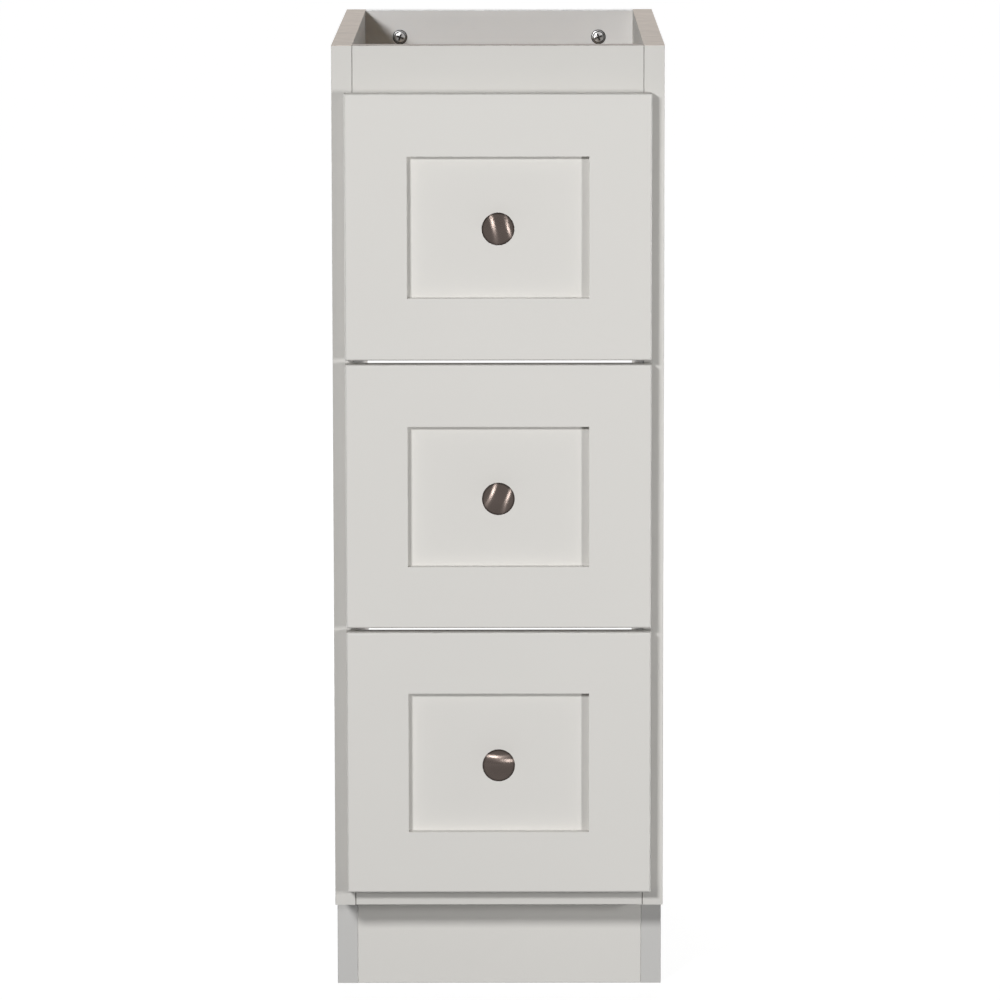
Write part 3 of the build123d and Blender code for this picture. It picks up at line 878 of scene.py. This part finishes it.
rail_low, rail_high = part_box("rear_rail_screws")
washer_radius = (rail_high.z - rail_low.z) / 2
rail_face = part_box("rear_top_rail")[0].y
rail_seats = []
for x in (rail_low.x + washer_radius, rail_high.x - washer_radius):
    lean = (0.0, 0.0, math.radians(math.copysign(rail_lean, x)))
    facing = Euler(towards["front"]).to_matrix() @ Euler(lean).to_matrix()
    rail_seats.append(((x, rail_face, mid_height("rear_rail_screws")), facing.to_euler()))
rail_screw = screw_mesh(
    "rail_screw", head_radius=0.0052, head_height=0.0028, length=0.0160, washer_radius=washer_radius)
place_screws("rail_washer_screws", rail_screw, rail_seats, "cabinet", "rear_rail_screws")

case_low, case_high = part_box("case_slides")
screw_rows = [case_low.y + screw_margin, (case_low.y + case_high.y) / 2, case_high.y - screw_margin]
slide_heights = [mid_height(drawer + "_floating_slides") for drawer in drawers]
case_seats = []
for height in slide_heights:
    for y in screw_rows:
        case_seats.append(((case_low.x + steel_sheet, y, height), towards["right"]))
        case_seats.append(((case_high.x - steel_sheet, y, height), towards["left"]))
case_screw = screw_mesh("case_screw", pan_radius, flat_head, length=0.0152)
place_screws("case_slide_pan_screws", case_screw, case_seats, "cabinet", "case_slide_screws")

# %% [markdown]
# ## Screws of each drawer
# Four long screws hold a front to its box, four short ones hold the slides, and one reaches through to
# the knob. They are separate pieces on the drawer's body, because they slide out with it.

# %% Screws of each drawer
front_screw_inset = 0.011
front_screw_edge = 0.030
for drawer in drawers:
    low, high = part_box(drawer + "_box_front")
    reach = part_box(drawer + "_box_left_side")[1].x + front_screw_inset
    slide_low, slide_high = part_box(drawer + "_drawer_slides")
    knob_low, knob_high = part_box(drawer + "_knob_screw")
    height = mid_height(drawer + "_drawer_slides")
    levels = (low.z + front_screw_edge, high.z - front_screw_edge)
    long_seats = [((x, high.y, z), towards["rear"]) for z in levels for x in (reach, -reach)]
    short_seats = []
    for y in (slide_low.y + screw_margin, slide_high.y - screw_margin):
        short_seats.append(((low.x - steel_sheet, y, height), towards["left"]))
        short_seats.append(((high.x + steel_sheet, y, height), towards["right"]))
    knob_seat = ((0.0, high.y, mid_height(drawer + "_knob_screw")), towards["rear"])
    body = drawer + "_drawer"
    node = drawer + "_drawer_screws"
    front_screw = screw_mesh("front_screw", pan_radius, pan_head, length=0.0257)
    slide_screw = screw_mesh("slide_screw", pan_radius, flat_head, length=0.0112)
    knob_screw = screw_mesh("knob_screw", pan_radius, pan_head, knob_high.y - knob_low.y - pan_head)
    place_screws(drawer + "_front_pan_screws", front_screw, long_seats, body, node)
    place_screws(drawer + "_slide_pan_screws", slide_screw, short_seats, body, node)
    place_screws(drawer + "_knob_pan_screw", knob_screw, [knob_seat], body, drawer + "_knob_screw")

# %% [markdown]
# ## Rubber stops
# Twelve clear stops on the front edges of the case keep the closed fronts from knocking. They are low
# domes, so a few rings on the lathe make one, and the same tree sets it on all twelve seats.

# %% Rubber stops
stop_sides = 24
stop_radius = 0.0032
stop_height = 0.0014
stop_edge = 0.0004
stop_fall = 0.72
stop_inset = 0.020
stop_rings = [round_ring(radius, 0.0, stop_sides) for radius in (0, stop_radius)]
stop_rings.append(round_ring(stop_radius, stop_edge, stop_sides))
for share in (0.92, 0.75, 0.45, 0):
    height = stop_height * (1 - stop_fall * share ** 3)
    stop_rings.append(round_ring(stop_radius * share, height, stop_sides))
stop_low, stop_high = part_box("front_bumpers")
stop_seats = []
for drawer in drawers:
    low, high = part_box(drawer + "_left_stile")
    for z in (low.z + stop_inset, high.z - stop_inset):
        for x in (stop_low.x + stop_radius, stop_high.x - stop_radius):
            stop_seats.append(((x, stop_high.y, z), towards["front"]))
stop_mesh = turned_mesh("rubber_stop", stop_rings)
place_parts("clear_rubber_stops", stop_mesh, stop_seats, rubber, "cabinet", "front_bumpers")

# %% [markdown]
# ## Ball cages, with Geometry Nodes that follow a path
# Between the nested channels of a slide run strips of thin steel with eight balls each. A cage follows a
# straight path, so each one starts as an edge: the tree turns it into a curve, gives the curve a flat
# section for the strip, and spaces the balls along it. The size of the balls is stored on the edge,
# because the outer rows have smaller balls than the inner ones.

# %% Geometry Nodes: ball cages
tree, given, result = new_modifier("Ball cages", {
    "Balls in a row": "Int", "Row end": "Float", "Strip width": "Float", "Strip thickness": "Float"})
paths = step(tree, "MeshToCurve", {"Mesh": given["Geometry"]})
path_length = put(tree, "GeometryNodeSplineLength").outputs["Length"]
last_ball = calculate(tree, "SUBTRACT", path_length, given["Row end"])
between = step(tree, "TrimCurve", {0: paths, 4: given["Row end"], 5: last_ball}, mode="LENGTH")
spots = step(tree, "ResampleCurve", {"Curve": between, "Count": given["Balls in a row"]}, mode="COUNT")
ball = step(tree, "MeshIcoSphere", {"Radius": 0.5, "Subdivisions": 2})
smooth_ball = step(tree, "SetShadeSmooth", {0: ball})
ball_size = step(tree, "InputNamedAttribute", {"Name": "ball_size"}, data_type="FLOAT")
balls = step(tree, "InstanceOnPoints", {"Points": spots, "Instance": smooth_ball, "Scale": ball_size})
section = step(tree, "CurvePrimitiveQuadrilateral", {
    "Width": given["Strip width"], "Height": given["Strip thickness"]})
strips = step(tree, "CurveToMesh", {"Curve": paths, "Profile Curve": section, "Fill Caps": True})
together = step(tree, "JoinGeometry", {0: strips})
feed(tree, together.node, {0: balls})
cage_tree = end_modifier(tree, together, given, result)

# %% [markdown]
# ## The cages of each drawer
# Each slide has two rows above its middle and two below. The outer ones run between the case channel and
# the floating one, the inner ones between the floating channel and the drawer's. All the rows of a drawer
# are drawn in one go, as edges of one mesh, because they ride on the same body.

# %% Ball cages of each drawer
cage_balls = 8
ball_pitch = 0.026
cage_end = 0.008
cage_margin = 0.014
strip_width = 0.0020
strip_thickness = 0.0008
outer_ball = 0.0036
outer_reach = 0.0063
outer_rise = 0.0194
inner_ball = 0.0041
inner_reach = 0.00745
inner_rise = 0.01415
cage_length = (cage_balls - 1) * ball_pitch + 2 * cage_end
for drawer, height in zip(drawers, slide_heights):
    low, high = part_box(drawer + "_floating_slides")
    inner_start = low.y + cage_margin - cage_end
    outer_start = high.y - cage_margin + cage_end - cage_length
    rows = [
        (outer_reach, outer_rise, outer_start, outer_ball),
        (inner_reach, inner_rise, inner_start, inner_ball),
    ]
    points = []
    edges = []
    sizes = []
    for side, up in ((-1, -1), (-1, 1), (1, -1), (1, 1)):
        for reach, rise, start, size in rows:
            x = side * (side_face - reach)
            z = height + up * rise
            edges.append((len(points), len(points) + 1))
            points += [(x, start, z), (x, start + cage_length, z)]
            sizes += [size, size]
    name = drawer + "_cages_and_balls"
    cages = run_tree(name, point_mesh(name, points, edges, ball_size=sizes), cage_tree, {
        "Balls in a row": cage_balls, "Row end": cage_end, "Strip width": strip_width,
        "Strip thickness": strip_thickness, "Finish": bright})
    hand_over(cages, drawer + "_slide_extension", drawer + "_ball_cages")

# %% [markdown]
# ## Slides rolled from strip
# A slide channel is a long strip of steel that rollers bend into a trough, so its corners are round and
# its middle is punched with slots before it is bent. An extruded box with sharp corners would look cast.
# This tree takes the outline of the trough as a line, rounds its corners, draws it out to the full length,
# gives the sheet its thickness and punches the slots.

# %% Geometry Nodes: rolled channels
bend_steps = 5
punch_sides = 20
weld_distance = 0.00001
tree, given, result = new_modifier("Rolled channels", {
    "Length": "Float", "Steel": "Float", "Bend": "Float", "Punches": "Object"})
outline = step(tree, "MeshToCurve", {"Mesh": given["Geometry"]})
bends = {"Curve": outline, "Radius": given["Bend"], "Count": bend_steps}
wire = step(tree, "CurveToMesh", {"Curve": step(tree, "FilletCurve", bends, mode="POLY")})
run = put(tree, "ShaderNodeCombineXYZ", {"Y": given["Length"]}).outputs[0]
sheet = step(tree, "ExtrudeMesh", {"Mesh": wire, "Offset": run, "Offset Scale": 1.0}, mode="EDGES")
thickness = {"Mesh": sheet, "Offset Scale": given["Steel"], "Individual": False}
inner = step(tree, "ExtrudeMesh", thickness, mode="FACES")
shell = step(tree, "JoinGeometry", {0: inner})
feed(tree, shell.node, {0: step(tree, "FlipFaces", {0: sheet})})
closed = step(tree, "MergeByDistance", {"Geometry": shell, "Distance": weld_distance})
punch = step(tree, "MeshCylinder", {"Vertices": punch_sides, "Radius": 0.5, "Depth": 1.0})
sideways = step(tree, "Transform", {"Geometry": punch, "Rotation": towards["right"]})
punch_size = step(tree, "InputNamedAttribute", {"Name": "size"}, data_type="FLOAT_VECTOR")
punches = shape_of(tree, given["Punches"])
cutters = step(tree, "InstanceOnPoints", {"Points": punches, "Instance": sideways, "Scale": punch_size})
cut_away = step(tree, "RealizeInstances", {0: cutters})
solids = {"Mesh 1": closed, "Mesh 2": cut_away}
punched = step(tree, "MeshBoolean", solids, operation="DIFFERENCE", solver="EXACT")
channel_tree = end_modifier(tree, punched, given, result)

# %% [markdown]
# ## Rolling a set of channels
# All the channels that ride on one body become one piece. The slots follow a regular pitch and leave out
# the places of the screws, which get round holes. An outline runs the other way round on the left side,
# so that its sheet is thickened towards the same face as on the right.

# %% Helper for slide channels
bend_radius = 0.0018
slot_pitch = 0.032
slot_length = 0.011
slot_width = 0.0048
screw_hole = 0.0044
punch_depth = 0.006
screw_room = 0.012


def roll_channels(name, heights, outline, web, screws, body, node):
    # The web is how far from the case the middle of the punched wall is
    low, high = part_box(node)
    slots = [low.y + i * slot_pitch for i in range(1, int((high.y - low.y) / slot_pitch))]
    slots = [y for y in slots if all(abs(y - screw) > screw_room for screw in screws)]
    points = []
    edges = []
    places = []
    sizes = []
    for height in heights:
        for side, trough in ((-1, outline[::-1]), (1, outline)):
            edges += [(len(points) + i, len(points) + i + 1) for i in range(len(trough) - 1)]
            points += [(side * (side_face - reach), low.y, height + rise) for reach, rise in trough]
            places += [(side * (side_face - web), y, height) for y in screws + slots]
            sizes += [(punch_depth, screw_hole, screw_hole)] * len(screws)
            sizes += [(punch_depth, slot_length, slot_width)] * len(slots)
    punch_object = add_object(name + "_punches", point_mesh(name + "_punches", places, size=sizes))
    rolled = run_tree(name, point_mesh(name, points, edges), channel_tree, {
        "Length": high.y - low.y, "Steel": steel_sheet, "Bend": bend_radius,
        "Punches": punch_object, "Finish": zinc})
    bpy.data.objects.remove(punch_object)
    for face in rolled.data.polygons:
        face.use_smooth = True
    rolled.data.set_sharp_from_angle(angle=math.radians(35))
    hand_over(rolled, body, node)


print("channels are rolled from", steel_sheet, "m sheet")

# %% [markdown]
# ## The three channels of each slide
# The widest channel is screwed to the case, the narrowest to the drawer box, and the floating one runs
# between them. Distances are measured from the side of the case towards the box, and heights from the
# middle of the slide. Only half of each outline is written down, since the other half mirrors it.

# %% Slide channels
def mirrored(half):
    return half + [(reach, -rise) for reach, rise in half[::-1]]


float_back = 0.0030
box_back = 0.0127
case_outline = mirrored([(0.0096, 0.0183), (0.0096, 0.0225), (0.0, 0.0225)])
float_outline = mirrored([(0.0110, 0.0135), (0.0110, 0.0175), (float_back, 0.0175)])
box_outline = mirrored([(0.0052, -0.0120), (box_back, -0.0120)])
half_sheet = steel_sheet / 2
for drawer, height in zip(drawers, slide_heights):
    low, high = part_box(drawer + "_drawer_slides")
    box_screws = [low.y + screw_margin, high.y - screw_margin]
    roll_channels(
        drawer + "_floating_channels", [height], float_outline, float_back + half_sheet, [],
        drawer + "_slide_extension", drawer + "_floating_slides")
    roll_channels(
        drawer + "_box_channels", [height], box_outline, box_back - half_sheet, box_screws,
        drawer + "_drawer", drawer + "_drawer_slides")
roll_channels("case_channels", slide_heights, case_outline, half_sheet, screw_rows, "cabinet", "case_slides")

# %% [markdown]
# ## Finishes for the boards
# The boards and dowels keep their construction shape, because it is already right down to the eased edges
# and the dovetails. They only need a finish, so each one gets its material in the slots it has. The
# knobs, screws, stops, cages and slides were replaced above and stay hidden.

# %% Give every board its finish
board_finishes = [
    (case_paint, ["left_side_panel", "right_side_panel", "case_bottom", "front_top_rail"]),
    (rail_paint, ["rear_top_rail", "rear_lower_rail"]),
    (front_paint, ["toe_kick_board"]),
    (beech_wide, ["carcass_dowels"]),
]
drawer_finishes = [
    (front_paint, ["left_stile", "right_stile", "upper_rail", "lower_rail", "centre_panel"]),
    (maple_deep, ["box_left_side", "box_right_side"]),
    (maple_wide, ["box_front", "box_back", "box_bottom"]),
]
for drawer in drawers:
    for finish, boards in drawer_finishes:
        board_finishes.append((finish, [drawer + "_" + board for board in boards]))
for finish, boards in board_finishes:
    for board in boards:
        for slot in nodes[board].material_slots:
            slot.material = finish
print("dressed", sum(len(boards) for finish, boards in board_finishes), "boards and sets of dowels")

# %% [markdown]
# ## Size, and the end
# The bounding boxes of the built and the dressed cabinet are set side by side, and their sizes are printed.

# %% Set the two boxes side by side
dressed_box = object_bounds()
sizes = {
    "cad": [list(cad_box[0]), list(cad_box[1])],
    "visual": [list(dressed_box[0]), list(dressed_box[1])],
}
print("built size", [round(v, 4) for v in cad_box[1] - cad_box[0]])
print("dressed size", [round(v, 4) for v in dressed_box[1] - dressed_box[0]])
